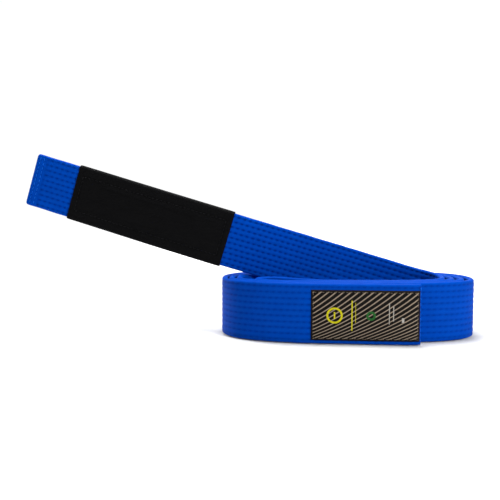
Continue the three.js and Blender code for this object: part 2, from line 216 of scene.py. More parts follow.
def plan_points():
    """The belt seen from above: the spiral, the fold, the inner return and the tail."""
    turns = SPIRAL_TURNS * np.arange(SPIRAL_STEPS + 1) / SPIRAL_STEPS
    spiral = spiral_points(turns)
    reach = LABEL_LENGTH + LABEL_TO_END
    run = spiral[:, 0] - spiral[0, 0] + reach
    spiral[:, 1] -= np.where(turns < LIFTED_TURNS, LABEL_END_LIFT * smooth_step(run / reach) ** 2, 0)
    last = spiral[-1]

    turns_at_right = SPIRAL_TURNS - RETURN_RIGHT_TURNS
    front = half_depth(SPIRAL_TURNS + RETURN_FRONT_TURNS)
    back = half_depth(SPIRAL_TURNS + RETURN_BACK_TURNS)
    degrees = np.arange(*RETURN_ANGLES)
    inner = oval_points(half_length(turns_at_right) - RETURN_GAP,
                        front + (back - front) * ((degrees + 90) / 180),
                        -PITCH_SHIFT * turns_at_right, degrees)

    places = [last + (FOLD_LENGTH * along, FOLD_DEPTH * deep) for along, deep in FOLD_PLACES]
    fold = smooth_curve([spiral[-FOLD_LEAD_STEPS], last, *places, inner[0], inner[RETURN_LEAD_STEPS]],
                        FOLD_STEPS)
    first = np.argmin(np.linalg.norm(fold - last, axis=1)) + 1
    final = np.argmin(np.linalg.norm(fold - inner[0], axis=1))

    leave = inner[-1]
    tail = smooth_curve([
        inner[-RETURN_LEAD_STEPS], leave,
        ((leave[0] + TAIL_CROSSING[0]) / 2, leave[1] - TAIL_LEAVE_DIP),
        TAIL_CROSSING,
        (-TAIL_REACH * TAIL_MIDDLE[0], TAIL_CROSSING[1] + TAIL_MIDDLE[1]),
        (-TAIL_REACH * TAIL_OUTER[0], TAIL_END_OFFSET - TAIL_OUTER[1]),
        (-TAIL_REACH, TAIL_END_OFFSET),
    ], TAIL_STEPS)
    start = np.argmax((tail[:, 0] < leave[0] - TAIL_LEAVE_RUN) & (tail[:, 1] > 0))
    return np.vstack([spiral, fold[first:final], inner, tail[start:]])


class Path:
    """Places and directions along the belt, by length from the label end."""

    def __init__(self):
        plan = plan_points()
        run = np.concatenate([[0], np.cumsum(np.linalg.norm(np.diff(plan, axis=0), axis=1))])
        late = run > run[-1] - LATE_RUN
        apex = run[np.argmax(np.where(late, plan[:, 0], -np.inf))]
        even = np.linspace(0, run[-1], PATH_STEPS)
        plan = np.stack([np.interp(even, run, plan[:, i]) for i in (0, 1)], -1)
        slope = TAIL_SLOPE * smooth_step((even - apex - RISE_START) / RISE_LENGTH)
        step = even[1] - even[0]
        height = HALF_WIDTH + np.concatenate([[0], np.cumsum(slope[1:] * step)])
        self.length = np.concatenate([[0], np.cumsum(np.hypot(1, slope[1:]) * step)])
        self.place = np.column_stack([self.soften(plan), height])
        flat = np.gradient(self.place[:, :2], axis=0)
        flat /= np.linalg.norm(flat, axis=1)[:, None]
        tangent = np.column_stack([flat, slope])
        self.tangent = tangent / np.linalg.norm(tangent, axis=1)[:, None]
        self.normal = np.column_stack([-flat[:, 1], flat[:, 0], np.zeros(len(flat))])
        across = np.cross(self.tangent, self.normal)
        self.across = across * np.sign(across[:, 2:3])
        self.end = self.length[-1]

    @staticmethod
    def soften(plan, reach=SOFTEN_STEPS):
        """The plan with its small kinks eased; its two ends stay where they are."""
        weights = np.hanning(2 * reach + 3)[1:-1]
        weights /= weights.sum()
        ends = np.pad(plan, ((reach, reach), (0, 0)), mode="reflect", reflect_type="odd")
        return np.stack([np.convolve(ends[:, i], weights, "valid") for i in (0, 1)], -1)

    def at(self, lengths):
        lengths = np.asarray(lengths, float)
        out = []
        for values in (self.place, self.tangent, self.normal, self.across):
            row = np.stack([np.interp(lengths, self.length, values[:, i]) for i in range(3)], -1)
            out.append(row)
        over = lengths - np.clip(lengths, 0, self.end)
        out[0] = out[0] + out[1] * over[..., None]
        return out


PATH = Path()
FLAP_HINGE = LABEL_TO_END + LABEL_LENGTH + LABEL_TO_HINGE
SLEEVE_END = PATH.end - SLEEVE_TO_TIP
SLEEVE_START = SLEEVE_END - SLEEVE_LENGTH
TAIL_HINGE = SLEEVE_START - SLEEVE_TO_HINGE
hinge_place = PATH.at([FLAP_HINGE])[0][0]
SHIFT = np.array(JOINTS["label_end_hinge"]["pos_m"]) / MM - hinge_place
FACE_OUT = 1.0  # the label's side of the belt, as a sign of the thickness direction


def to_row(points):
    return (points + SHIFT) * MM


# ---------------------------------------------------------------- mesh helpers
def make_object(name, vertices, faces, uvs=None, groove_and_painted_shade=None):
    mesh = bpy.data.meshes.new(name)
    mesh.from_pydata(vertices.tolist(), [], faces.tolist() if hasattr(faces, "tolist") else faces)
    mesh.polygons.foreach_set("use_smooth", np.ones(len(mesh.polygons), bool))
    if uvs is not None:
        layer = mesh.uv_layers.new(name="UVMap")
        loops = np.empty(len(mesh.loops), np.int32)
        mesh.loops.foreach_get("vertex_index", loops)
        layer.data.foreach_set("uv", uvs[loops].astype(np.float32).ravel())
    # the painted shade of the stitched rows, seams and hems, kept on the points for the cloth
    # material
    if groove_and_painted_shade is not None:
        layer = mesh.attributes.new("groove_and_painted_shade", "FLOAT", "POINT")
        layer.data.foreach_set("value", groove_and_painted_shade.astype(np.float32))
    mesh.update()
    mesh.set_sharp_from_angle(angle=math.radians(SHARP_ANGLE))
    piece = bpy.data.objects.new(name, mesh)
    bpy.context.scene.collection.objects.link(piece)
    return piece


def value_noise(x, seed):
    """Smooth one-dimensional noise between -1 and 1."""
    table = np.random.default_rng(seed).uniform(-1, 1, NOISE_CELLS)
    cell = np.floor(x).astype(int)
    t = x - cell
    t = t * t * (3 - 2 * t)
    return table[cell % NOISE_CELLS] * (1 - t) + table[(cell + 1) % NOISE_CELLS] * t


def wander_along(lengths):
    """The small slow waves of the whole strip's thickness."""
    slow, quick = (value_noise(lengths / run, seed) for run, seed in zip((37, 9), WANDER_SEEDS))
    return 0.12 * slow + 0.05 * quick


def rounded_profile(half_width, half_thickness, radius, face_points, edge_points):
    """Across and thickness of a rounded strip's section, and its outward direction there."""
    points, normals = [], []
    flat = half_width - radius
    for side in (1, -1):
        for v in np.linspace(side * flat, -side * flat, face_points):
            points.append((v, side * half_thickness))
            normals.append((0.0, float(side)))
        for angle in np.linspace(-90, 90, edge_points + 2)[1:-1] + 90 * (1 + side):
            c, s = math.cos(math.radians(angle)), math.sin(math.radians(angle))
            points.append((-side * flat + radius * c, half_thickness * s))
            normals.append((c, s))
    return np.array(points), np.array(normals)


def grid_on(lengths, profile):
    """Length and place across the belt at every point of a swept section."""
    return lengths[:, None] + 0 * profile[None, :, 0], profile[None, :, 0] + 0 * lengths[:, None]


ROW_PLACES = np.linspace(-ROW_SPAN / 2, ROW_SPAN / 2, ROWS)


def dimple_strength(u):
    """The turns are pulled smooth; the loose tail puffs between its stitches."""
    tail = smooth_step((u - (TAIL_HINGE - LOOSE_RUN)) / LOOSE_BLEND)
    tip = smooth_step((u - SLEEVE_START) / SLEEVE_LENGTH)
    return COIL_PUFF + (1 - COIL_PUFF) * tail - TIP_EASE * tip


def quilting(u, v):
    """How far the cloth is drawn in at each point of a face, and the painted shade in its grooves and
    dimples.
    """
    row = np.argmin(np.abs(v[..., None] - ROW_PLACES), -1)
    off = np.abs(v - ROW_PLACES[row])
    groove_and_painted_shade = np.exp(-((off / GROOVE_WIDTH) ** 2))
    drift = DRIFT * value_noise(u / DRIFT_RUN + 31 * row, DRIFT_SEED)
    phase = u / STITCH_PITCH + drift + ROW_STAGGER * row
    along = (phase - np.round(phase)) * STITCH_PITCH
    dimple = np.exp(-((along / DIMPLE_RUN) ** 2))
    puff = dimple_strength(u)
    line = GROOVE_FLAT_SHARE + (1 - GROOVE_FLAT_SHARE) * puff
    depth = groove_and_painted_shade * (GROOVE_DEPTH * line + DIMPLE_DEPTH * puff * dimple)
    # painted shade: darker along the stitched rows and darkest in the dimples
    shade = groove_and_painted_shade * (GROOVE_SHADE - GROOVE_SHADE_LOSS * puff + puff * dimple)
    return depth, shade


def hem_lines(lengths, places, strength, width):
    return sum(strength * np.exp(-(((lengths - place) / width) ** 2)) for place in places)


def end_squeeze(distance, share):
    """How much of the thickness is left near a sewn end."""
    return 1 - share * np.exp(-np.maximum(distance, 0) / END_SQUEEZE_RUN)


def strip_piece(name, start, end, hem_start=False, hem_end=False):
    """A stretch of quilted belt as one closed mesh."""
    count = max(8, int(round((end - start) / ALONG_STEP)))
    lengths = np.linspace(start, end, count + 1)
    if hem_end:
        lengths = np.unique(np.concatenate([lengths, end - np.array(TIP_CLOSE_RINGS)]))
    profile, outward = rounded_profile(CLOTH_HALF_WIDTH, CLOTH_HALF_THICKNESS, EDGE_ROUND,
                                       FACE_POINTS, EDGE_POINTS)
    place, _, normal, across = PATH.at(lengths)
    u, v = grid_on(lengths, profile)
    facing = np.abs(outward[:, 1]) > FACING
    depth, shade = quilting(u, v)
    depth = np.where(facing, depth, 0)
    shade = np.where(facing, shade, EDGE_SHADE)
    wander = wander_along(lengths)[:, None]
    swell = SWELL * value_noise(u / 6 + 13 * v / 7, SWELL_SEED)
    hem = np.zeros_like(lengths)
    squeeze = np.ones_like(lengths)
    if hem_end:
        plain = smooth_step((end - lengths - HEM_PLAIN_RUN) / HEM_PLAIN_BLEND)[:, None]
        depth = depth * plain
        shade = shade * plain
        hem += hem_lines(end - lengths, TIP_HEM_LINES, *TIP_HEM)
        squeeze *= end_squeeze(end - lengths, TIP_SQUEEZE)
    if hem_start:
        hem += hem_lines(lengths - start, (LABEL_END_HEM_LINE,), *LABEL_END_HEM)
        squeeze *= end_squeeze(lengths - start, LABEL_END_SQUEEZE)
    drawn_in = np.where(facing, hem[:, None], 0)
    depth = depth + HEM_DEPTH * drawn_in
    # painted shade along the drawn-in hem lines
    shade = np.clip(shade + HEM_SHADE * drawn_in, 0, 1)
    thick = profile[None, :, 1] * squeeze[:, None] + outward[None, :, 1] * (swell - depth)
    wide = profile[None, :, 0] + outward[None, :, 0] * EDGE_WAVE * value_noise(u / 5, EDGE_SEED)
    if hem_end:
        short = np.clip((CORNER_RADIUS - (end - lengths)) / CORNER_RADIUS, 0, 1)
        pull = CORNER_RADIUS * (1 - np.sqrt(1 - short**2))
        wide = wide * (1 - pull / CLOTH_HALF_WIDTH)[:, None]
    vertices = (place[:, None, :] + across[:, None, :] * wide[..., None]
                + normal[:, None, :] * (thick + wander)[..., None])
    rings, size = len(lengths), len(profile)
    index = np.arange(rings * size).reshape(rings, size)
    around = np.roll(index, -1, axis=1)
    quads = np.stack([index[:-1], around[:-1], around[1:], index[1:]], -1).reshape(-1, 4)
    faces = quads.tolist() + [index[0][::-1].tolist(), index[-1].tolist()]
    uv = np.stack([u, v + BACK_FACE_SHIFT * (outward[None, :, 1] < 0)], -1).reshape(-1, 2) * MM
    piece = make_object(name, to_row(vertices.reshape(-1, 3)), faces, uv, shade.reshape(-1))
    orient(piece)
    return piece


def orient(piece):
    """Turns a closed mesh's faces outward."""
    work = bmesh.new()
    work.from_mesh(piece.data)
    bmesh.ops.recalc_face_normals(work, faces=work.faces)
    work.to_mesh(piece.data)
    work.free()


# Rings of one stitch: share of its length, share of its full width, and lift in heights
STITCH_RINGS = ((0.0, 0.35, -0.6), (0.12, 0.85, 0.1), (0.5, 1.0, 0.45), (0.88, 0.85, 0.1),
                (1.0, 0.35, -0.6))


def stitches(name, runs, width, height, sides=6):
    """Small rounded stitches; each run is (start, end, outward) in the plan's millimetres."""
    vertices, faces = [], []
    for a, b, out in runs:
        axis = b - a
        size = np.linalg.norm(axis)
        axis = axis / size
        side = np.cross(axis, out)
        base = len(vertices)
        for t, scale, lift in STITCH_RINGS:
            centre = a + axis * size * t + out * height * lift
            for k in range(sides):
                angle = 2 * math.pi * k / sides
                vertices.append(centre + side * width / 2 * scale * math.cos(angle)
                                + out * height / 2 * scale * math.sin(angle))
        for r in range(len(STITCH_RINGS) - 1):
            for k in range(sides):
                j = (k + 1) % sides
                row = base + r * sides
                faces.append([row + k, row + j, row + sides + j, row + sides + k])
        faces.append([base + k for k in reversed(range(sides))])
        last = base + (len(STITCH_RINGS) - 1) * sides
        faces.append([last + k for k in range(sides)])
    piece = make_object(name, to_row(np.array(vertices)), faces)
    orient(piece)
    return piece


def surface_point(length, v, offset, side):
    place, _, normal, across = (value[0] for value in PATH.at([length]))
    return place + across * v + normal * offset * side, normal * side


# ---------------------------------------------------------------- materials
def new_material(name):
    material = bpy.data.materials.new(name)
    material.use_nodes = True
    nodes, links = material.node_tree.nodes, material.node_tree.links
    nodes.clear()
    output = nodes.new("ShaderNodeOutputMaterial")
    shader = nodes.new("ShaderNodeBsdfPrincipled")
    links.new(shader.outputs["BSDF"], output.inputs["Surface"])
    return material, nodes, links, shader


def math_node(nodes, links, operation, a, b=None, c=None):
    node = nodes.new("ShaderNodeMath")
    node.operation = operation
    for socket, value in zip(node.inputs, (a, b, c)):
        if value is None:
            continue
        if isinstance(value, (int, float)):
            socket.default_value = value
        else:
            links.new(value, socket)
    return node.outputs[0]


def mix_colour(nodes, links, factor, a, b):
    node = nodes.new("ShaderNodeMix")
    node.data_type = "RGBA"
    for socket, value in ((node.inputs["Factor"], factor), (node.inputs[6], a), (node.inputs[7], b)):
        if isinstance(value, (int, float)):
            socket.default_value = value
        elif isinstance(value, tuple):
            socket.default_value = (*value, 1.0)
        else:
            links.new(value, socket)
    return node.outputs[2]


def uv_map(nodes):
    node = nodes.new("ShaderNodeUVMap")
    node.uv_map = "UVMap"
    return node.outputs[0]


def noise_node(nodes, links, place, scale, detail=None):
    node = nodes.new("ShaderNodeTexNoise")
    node.inputs["Scale"].default_value = scale
    if detail is not None:
        node.inputs["Detail"].default_value = detail
    if place is not None:
        links.new(place, node.inputs["Vector"])
    return node.outputs["Fac"]


def add_relief(nodes, links, shader, height, strength, distance):
    relief = nodes.new("ShaderNodeBump")
    relief.inputs["Strength"].default_value = strength
    relief.inputs["Distance"].default_value = distance
    links.new(height, relief.inputs["Height"])
    links.new(relief.outputs[0], shader.inputs["Normal"])


def map_range(nodes, links, value, low, high, to_low, to_high):
    """A smooth passage from one value to another."""
    node = nodes.new("ShaderNodeMapRange")
    node.interpolation_type = "SMOOTHSTEP"
    stops = (("From Min", low), ("From Max", high), ("To Min", to_low), ("To Max", to_high))
    for socket, number in stops:
        node.inputs[socket].default_value = number
    links.new(value, node.inputs["Value"])
    return node.outputs["Result"]


WEFT_PITCH = 0.71  # share of the warp's pitch
WEFT_STRENGTH = 0.6
WEAVE_STRENGTH = 0.3
CLOTH_RELIEF = (0.35, 0.00012)  # strength, and depth in metres
COARSE_NOISE = (70.0, 5.0)  # scale and detail
FINE_NOISE = (1500.0, 3.0)
TONE = (0.7, -0.1)  # how the coarse noise turns the base colour towards the light one
THREAD_SHADE = 0.5
IN_GROOVE_SHADE = 0.8
FINE_RELIEF = 0.8
ROUGHNESS_SPREAD = 0.18


def twill(nodes, links, uv, pitch):
    """Diagonal weave lines from the UV map, which is in metres."""
    def op(*values):
        return math_node(nodes, links, *values)

    split = nodes.new("ShaderNodeSeparateXYZ")
    links.new(uv, split.inputs[0])
    x, y = split.outputs[0], split.outputs[1]
    warp = op("SINE", op("MULTIPLY", op("ADD", x, y), 2 * math.pi / pitch))
    weft = op("SINE", op("MULTIPLY", x, 2 * math.pi / (pitch * WEFT_PITCH)))
    both = op("ADD", warp, op("MULTIPLY", weft, WEFT_STRENGTH))
    return op("MULTIPLY_ADD", both, WEAVE_STRENGTH, 0.5)


def cloth_material(name, base, dark, light, weave_pitch, roughness, shine_tint, specular):
    material, nodes, links, shader = new_material(name)

    def op(*values):
        return math_node(nodes, links, *values)

    uv = uv_map(nodes)
    weave = twill(nodes, links, uv, weave_pitch)
    coarse = noise_node(nodes, links, uv, *COARSE_NOISE)
    fine = noise_node(nodes, links, uv, *FINE_NOISE)
    groove_and_painted_shade = nodes.new("ShaderNodeAttribute")
    groove_and_painted_shade.attribute_name = "groove_and_painted_shade"
    colour = mix_colour(nodes, links, op("MULTIPLY_ADD", coarse, *TONE), base, light)
    thread = op("ABSOLUTE", op("MULTIPLY", weave, THREAD_SHADE))
    colour = mix_colour(nodes, links, thread, colour, dark)
    # painted shade: the colour goes towards the dark one where the points carry painted shade
    painted_groove_shade = op("MULTIPLY", groove_and_painted_shade.outputs["Fac"], IN_GROOVE_SHADE)
    colour = mix_colour(nodes, links, painted_groove_shade, colour, dark)
    links.new(colour, shader.inputs["Base Color"])
    height = op("ADD", weave, op("MULTIPLY", fine, FINE_RELIEF))
    add_relief(nodes, links, shader, height, *CLOTH_RELIEF)
    rough = op("MULTIPLY_ADD", fine, ROUGHNESS_SPREAD, roughness - ROUGHNESS_SPREAD / 2)
    links.new(rough, shader.inputs["Roughness"])
    shader.inputs["Specular IOR Level"].default_value = specular
    shader.inputs["Specular Tint"].default_value = (*shine_tint, 1.0)
    return material


# Each line: base, dark and light colour, pitch of the weave in metres, roughness, tint and
# strength of the shine
BLUE = cloth_material("blue_cotton", (0.0, 0.052, 0.4), (0.0, 0.008, 0.1), (0.0, 0.078, 0.54),
                      0.00062, 0.72, (0.02, 0.35, 1.0), 0.05)
BLUE_THREAD = cloth_material("blue_thread", (0.004, 0.095, 0.6), (0.0, 0.04, 0.3),
                             (0.01, 0.15, 0.75), 0.0004, 0.55, (0.1, 0.5, 1.0), 0.3)
BLACK = cloth_material("black_cotton", (0.003, 0.003, 0.0032), (0.001, 0.001, 0.001),
                       (0.005, 0.005, 0.0052), 0.0006, 0.7, (0.5, 0.5, 0.55), 0.06)
BLACK_THREAD = cloth_material("black_thread", (0.005, 0.005, 0.0055), (0.002, 0.002, 0.002),
                              (0.01, 0.01, 0.011), 0.0004, 0.6, (0.6, 0.6, 0.65), 0.12)
LABEL_THREAD = cloth_material("label_thread", (0.1, 0.08, 0.062), (0.03, 0.024, 0.02),
                              (0.16, 0.13, 0.1), 0.0004, 0.6, (0.8, 0.75, 0.7), 0.1)


def finish_piece(piece, material, body=None, stands_for=()):
    piece.data.materials.append(material)
    if body:
        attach(piece, body)
    if stands_for:
        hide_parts(*stands_for)
    return piece


# ---------------------------------------------------------------- camera
CAMERA_FOCAL_SHARE = 1.293  # focal length over the frame's width
CAMERA_PLACE = np.array([-50.0, -462.0, 90.0])  # beside the coil's centre, in the plan's millimetres
CAMERA_PITCH = 3.9
CAMERA_TURN = 2.52
SENSOR_WIDTH = 36.0


def add_camera():
    data = bpy.data.cameras.new("camera")
    data.sensor_width = SENSOR_WIDTH
    data.lens = SENSOR_WIDTH * CAMERA_FOCAL_SHARE
    data.clip_start = 0.01
    camera = bpy.data.objects.new("camera", data)
    camera.location = to_row(CAMERA_PLACE)
    camera.rotation_euler = (math.radians(90 - CAMERA_PITCH), 0, math.radians(CAMERA_TURN))
    bpy.context.scene.collection.objects.link(camera)
    bpy.context.scene.camera = camera


add_camera()

# ---------------------------------------------------------------- the belt
REACH = 13.0  # a bending stretch runs this far into the coil
CUT_IN_SLEEVE = 30.0
FLAP_CUT = FLAP_HINGE + REACH
TAIL_CUT = TAIL_HINGE - REACH
TIP_CUT = SLEEVE_END - CUT_IN_SLEEVE

PLIES = ("cover", "inner_ply", "outer_ply")


def nodes_of(stretch):
    return [f"{stretch}_{part}" for part in PLIES]


def add_belt():
    coil = strip_piece("coil_strip", FLAP_CUT, TAIL_CUT)
    finish_piece(coil, BLUE, "coil", nodes_of("coil"))
    flap = strip_piece("label_end_strip", END_GAP, FLAP_CUT, hem_start=True)
    finish_piece(flap, BLUE, None, nodes_of("label_flap"))
    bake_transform(flap)
    tail = strip_piece("tail_strip", TAIL_CUT, TIP_CUT)
    finish_piece(tail, BLUE, None, nodes_of("tail"))
    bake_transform(tail)
    tip = strip_piece("tip_strip", TIP_CUT, PATH.end - END_GAP, hem_end=True)
    finish_piece(tip, BLUE, None, nodes_of("tip"))
    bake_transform(tip)


add_belt()


# ---------------------------------------------------------------- the rank sleeve
SLEEVE_HALF_WIDTH = 21.0
SLEEVE_HALF_THICKNESS = 3.05
SLEEVE_EDGE_ROUND = 1.9
SLEEVE_POINTS = (56, 7)
LINING_SIDE_GAP = 0.2
LINING_FACE_GAP = 0.12
SLEEVE_STEP = 0.9
SLEEVE_END_GAP = 0.15
SLEEVE_SEAM_SIDE = 6.8
SLEEVE_SEAM_END = 4.8
SLEEVE_SEAM_WIDTH = 0.6
SLEEVE_SEAM_V = HALF_WIDTH - SLEEVE_SEAM_SIDE
SLEEVE_SEAM_U = (SLEEVE_START + SLEEVE_SEAM_END, SLEEVE_END - SLEEVE_SEAM_END)
SLEEVE_STITCH_PITCH = 3.0
SLEEVE_STITCH_SHARE = 0.72
SLEEVE_STITCH_SINK = 0.12
SLEEVE_STITCH_SIZE = (0.55, 0.4)
SLEEVE_DIMPLE_RUN = 0.8
SLEEVE_HEM_RUN = 1.0
SLEEVE_SEAM_DEPTH = 0.22
SLEEVE_DIMPLE_DEPTH = 0.2
SLEEVE_HEM_DEPTH = 0.35
# painted shade along the sleeve's seam
SLEEVE_SEAM_SHADE = 0.8
EDGE_FOLD_SHARE = 0.2  # the folds are weaker round the sleeve's edges
EDGE_DEPTH_SHARE = 0.5
CREASES = ((11.4, 0.42), (9.7, -0.38))  # place across the sleeve, and height of the crease
CREASE_WIDTH = 0.7
LINING_SHIFT = 200  # where the lining lies in the UV map


def seam_distance(u, v):
    """Distance to the sleeve's rectangular seam."""
    low, high = SLEEVE_SEAM_U
    du = np.minimum(np.abs(u - low), np.abs(u - high))
    dv = np.abs(np.abs(v) - SLEEVE_SEAM_V)
    inside_u = (u > low) & (u < high)
    inside_v = np.abs(v) < SLEEVE_SEAM_V
    corner = np.hypot(du, dv)
    return np.where(inside_u & inside_v, np.minimum(du, dv),
                    np.where(inside_u, dv, np.where(inside_v, du, corner)))


def sleeve_folds(u, v):
    """Soft waves and the two lengthwise creases near the sleeve's upper edge."""
    seeds = SLEEVE_SEEDS
    fold = (0.2 * value_noise(v / 3.1 + 0.02 * u, seeds[0])
            + 0.16 * value_noise(u / 13 + v / 9, seeds[1])
            + 0.05 * value_noise(u / 4 - v / 5, seeds[2]))
    shown = smooth_step((u - SLEEVE_START - 6) / 12) * smooth_step((SLEEVE_END - 14 - u) / 18)
    for place, height in CREASES:
        fold += shown * height * np.exp(-(((v - place) / CREASE_WIDTH) ** 2))
    return fold


def add_sleeve():
    outer, outward = rounded_profile(SLEEVE_HALF_WIDTH, SLEEVE_HALF_THICKNESS, SLEEVE_EDGE_ROUND,
                                     *SLEEVE_POINTS)
    inner, _ = rounded_profile(CLOTH_HALF_WIDTH + LINING_SIDE_GAP,
                               CLOTH_HALF_THICKNESS + LINING_FACE_GAP, EDGE_ROUND, *SLEEVE_POINTS)
    count = int(SLEEVE_LENGTH / SLEEVE_STEP)
    lengths = np.linspace(SLEEVE_START + SLEEVE_END_GAP, SLEEVE_END - SLEEVE_END_GAP, count + 1)
    place, _, normal, across = PATH.at(lengths)
    u, v = grid_on(lengths, outer)
    facing = np.abs(outward[:, 1]) > FACING
    seam = np.exp(-((seam_distance(u, v) / SLEEVE_SEAM_WIDTH) ** 2))
    on_side = np.abs(np.abs(v) - SLEEVE_SEAM_V) < SLEEVE_STITCH_PITCH / 2
    phase = np.where(on_side, u, v) / SLEEVE_STITCH_PITCH
    along = (phase - np.round(phase)) * SLEEVE_STITCH_PITCH
    dimple = np.exp(-((along / SLEEVE_DIMPLE_RUN) ** 2))
    fold = sleeve_folds(u, v)
    hem = np.maximum(np.exp(-((u - SLEEVE_START) / SLEEVE_HEM_RUN)),
                     np.exp(-((SLEEVE_END - u) / SLEEVE_HEM_RUN)))
    drawn_in = seam * (SLEEVE_SEAM_DEPTH + SLEEVE_DIMPLE_DEPTH * dimple)
    depth = (np.where(facing, drawn_in, 0) + SLEEVE_HEM_DEPTH * hem
             - np.where(facing, fold, EDGE_FOLD_SHARE * fold))
    # painted shade along the sleeve's seam
    shade = np.where(facing, seam * SLEEVE_SEAM_SHADE, EDGE_SHADE)
    thick = outer[None, :, 1] - outward[None, :, 1] * depth
    wide = outer[None, :, 0] - outward[None, :, 0] * (EDGE_DEPTH_SHARE * depth)
    body = (place[:, None, :] + across[:, None, :] * wide[..., None]
            + normal[:, None, :] * thick[..., None])
    lining = (place[::-1, None, :] + across[::-1, None, :] * inner[None, :, :1]
              + normal[::-1, None, :] * inner[None, :, 1:])
    rings = np.concatenate([body, lining])
    size = len(outer)
    index = np.arange(rings.shape[0] * size).reshape(-1, size)
    ahead = np.roll(index, -1, axis=0)
    corners = [index, np.roll(index, -1, axis=1), np.roll(ahead, -1, axis=1), ahead]
    quads = np.stack(corners, -1).reshape(-1, 4)
    face_shift = BACK_FACE_SHIFT * (outward[None, :, 1] < 0)
    uv = np.concatenate([np.stack([u, v + face_shift], -1), np.stack([u, v + LINING_SHIFT], -1)])
    groove_and_painted_shade = np.concatenate([shade, 0 * shade]).reshape(-1)
    sleeve = make_object("rank_sleeve_cloth", to_row(rings.reshape(-1, 3)), quads,
                         uv.reshape(-1, 2) * MM, groove_and_painted_shade)
    orient(sleeve)
    finish_piece(sleeve, BLACK, "tail", ["rank_sleeve"])


def frame_runs(low, high, low_v, high_v, pitch, share, offset, side):
    """Stitches along a rectangle on one face of the belt; share is how much of the pitch shows."""
    runs = []

    def edge(point, size):
        count = max(1, int(round(size / pitch)))
        for k in range(count):
            a = (k + (1 - share) / 2) / count
            b = (k + (1 + share) / 2) / count
            p, out = surface_point(*point(a), offset, side)
            q, _ = surface_point(*point(b), offset, side)
            runs.append((p, q, out))

    for v in (low_v, high_v):
        edge(lambda t, v=v: (low + (high - low) * t, v), high - low)
    for u in (low, high):
        edge(lambda t, u=u: (u, low_v + (high_v - low_v) * t), high_v - low_v)
    return runs


def add_sleeve_stitches():
    for side, node in ((1, "sleeve_stitching_inner"), (-1, "sleeve_stitching_outer")):
        runs = frame_runs(*SLEEVE_SEAM_U, -SLEEVE_SEAM_V, SLEEVE_SEAM_V, SLEEVE_STITCH_PITCH,
                          SLEEVE_STITCH_SHARE, SLEEVE_HALF_THICKNESS - SLEEVE_STITCH_SINK, side)
        piece = stitches(f"{node}_thread", runs, *SLEEVE_STITCH_SIZE)
        finish_piece(piece, BLACK_THREAD, "tail", [node])


add_sleeve()
add_sleeve_stitches()


# ---------------------------------------------------------------- the woven label
LABEL_START_MM = LABEL_TO_END
LABEL_END_MM = LABEL_TO_END + LABEL_LENGTH
LABEL_LOW = -HALF_WIDTH + LABEL_BOTTOM
LABEL_TOP = LABEL_LOW + LABEL_HEIGHT
LABEL_GRID = (110, 54)
LABEL_SINK = 0.15
LABEL_RISE = 0.55
LABEL_EDGE_RUN = 0.6
LABEL_LIFT = 0.25
LABEL_SEAM_INSET = 1.5
LABEL_SEAM = (0.16, 0.5)  # depth and width of the line drawn in by the border stitches
LABEL_STITCH_PITCH = 2.6
LABEL_STITCH_SHARE = 0.6
LABEL_STITCH_LIFT = 0.5
LABEL_STITCH_SIZE = (0.5, 0.35)

# The label's pattern; lengths are shares of its height
DARK_CLOTH = (0.0016, 0.0009, 0.0005)
STRIPE_CLOTH = (0.3, 0.235, 0.175)
BORDER_CLOTH = (0.006, 0.004, 0.003)
WEAVE_SHADE = (0.004, 0.003, 0.003)
YELLOW = (0.5, 0.45, 0.006)
GREEN = (0.015, 0.1, 0.02)
PALE = (0.36, 0.34, 0.31)
STRIPES_PER_HEIGHT = 6.9
STRIPE_FAN = 0.5  # the stripes rise to the right, steeper and wider towards the top
STRIPE_START = 0.36
BORDER_WIDTH = 0.028
BORDER_SHARPNESS = 60.0
MARK_SHARPNESS = 160.0
# Rings: centre, radius, half the band. Bars: centre, width, height
MARKS = (("ring", (0.46, 0.5, 0.14, 0.022), YELLOW), ("bar", (0.46, 0.5, 0.035, 0.14), YELLOW),
         ("bar", (0.80, 0.5, 0.028, 0.6), YELLOW), ("bar", (0.87, 0.56, 0.015, 0.4), YELLOW),
         ("ring", (1.17, 0.5, 0.07, 0.025), GREEN), ("bar", (1.52, 0.55, 0.022, 0.42), PALE),
         ("bar", (1.60, 0.55, 0.022, 0.3), PALE), ("bar", (1.78, 0.42, 0.05, 0.1), PALE))
LABEL_WEAVE = (75, 90)  # threads to a height of the label, along and across
LABEL_RELIEF = (0.4, 0.00015)


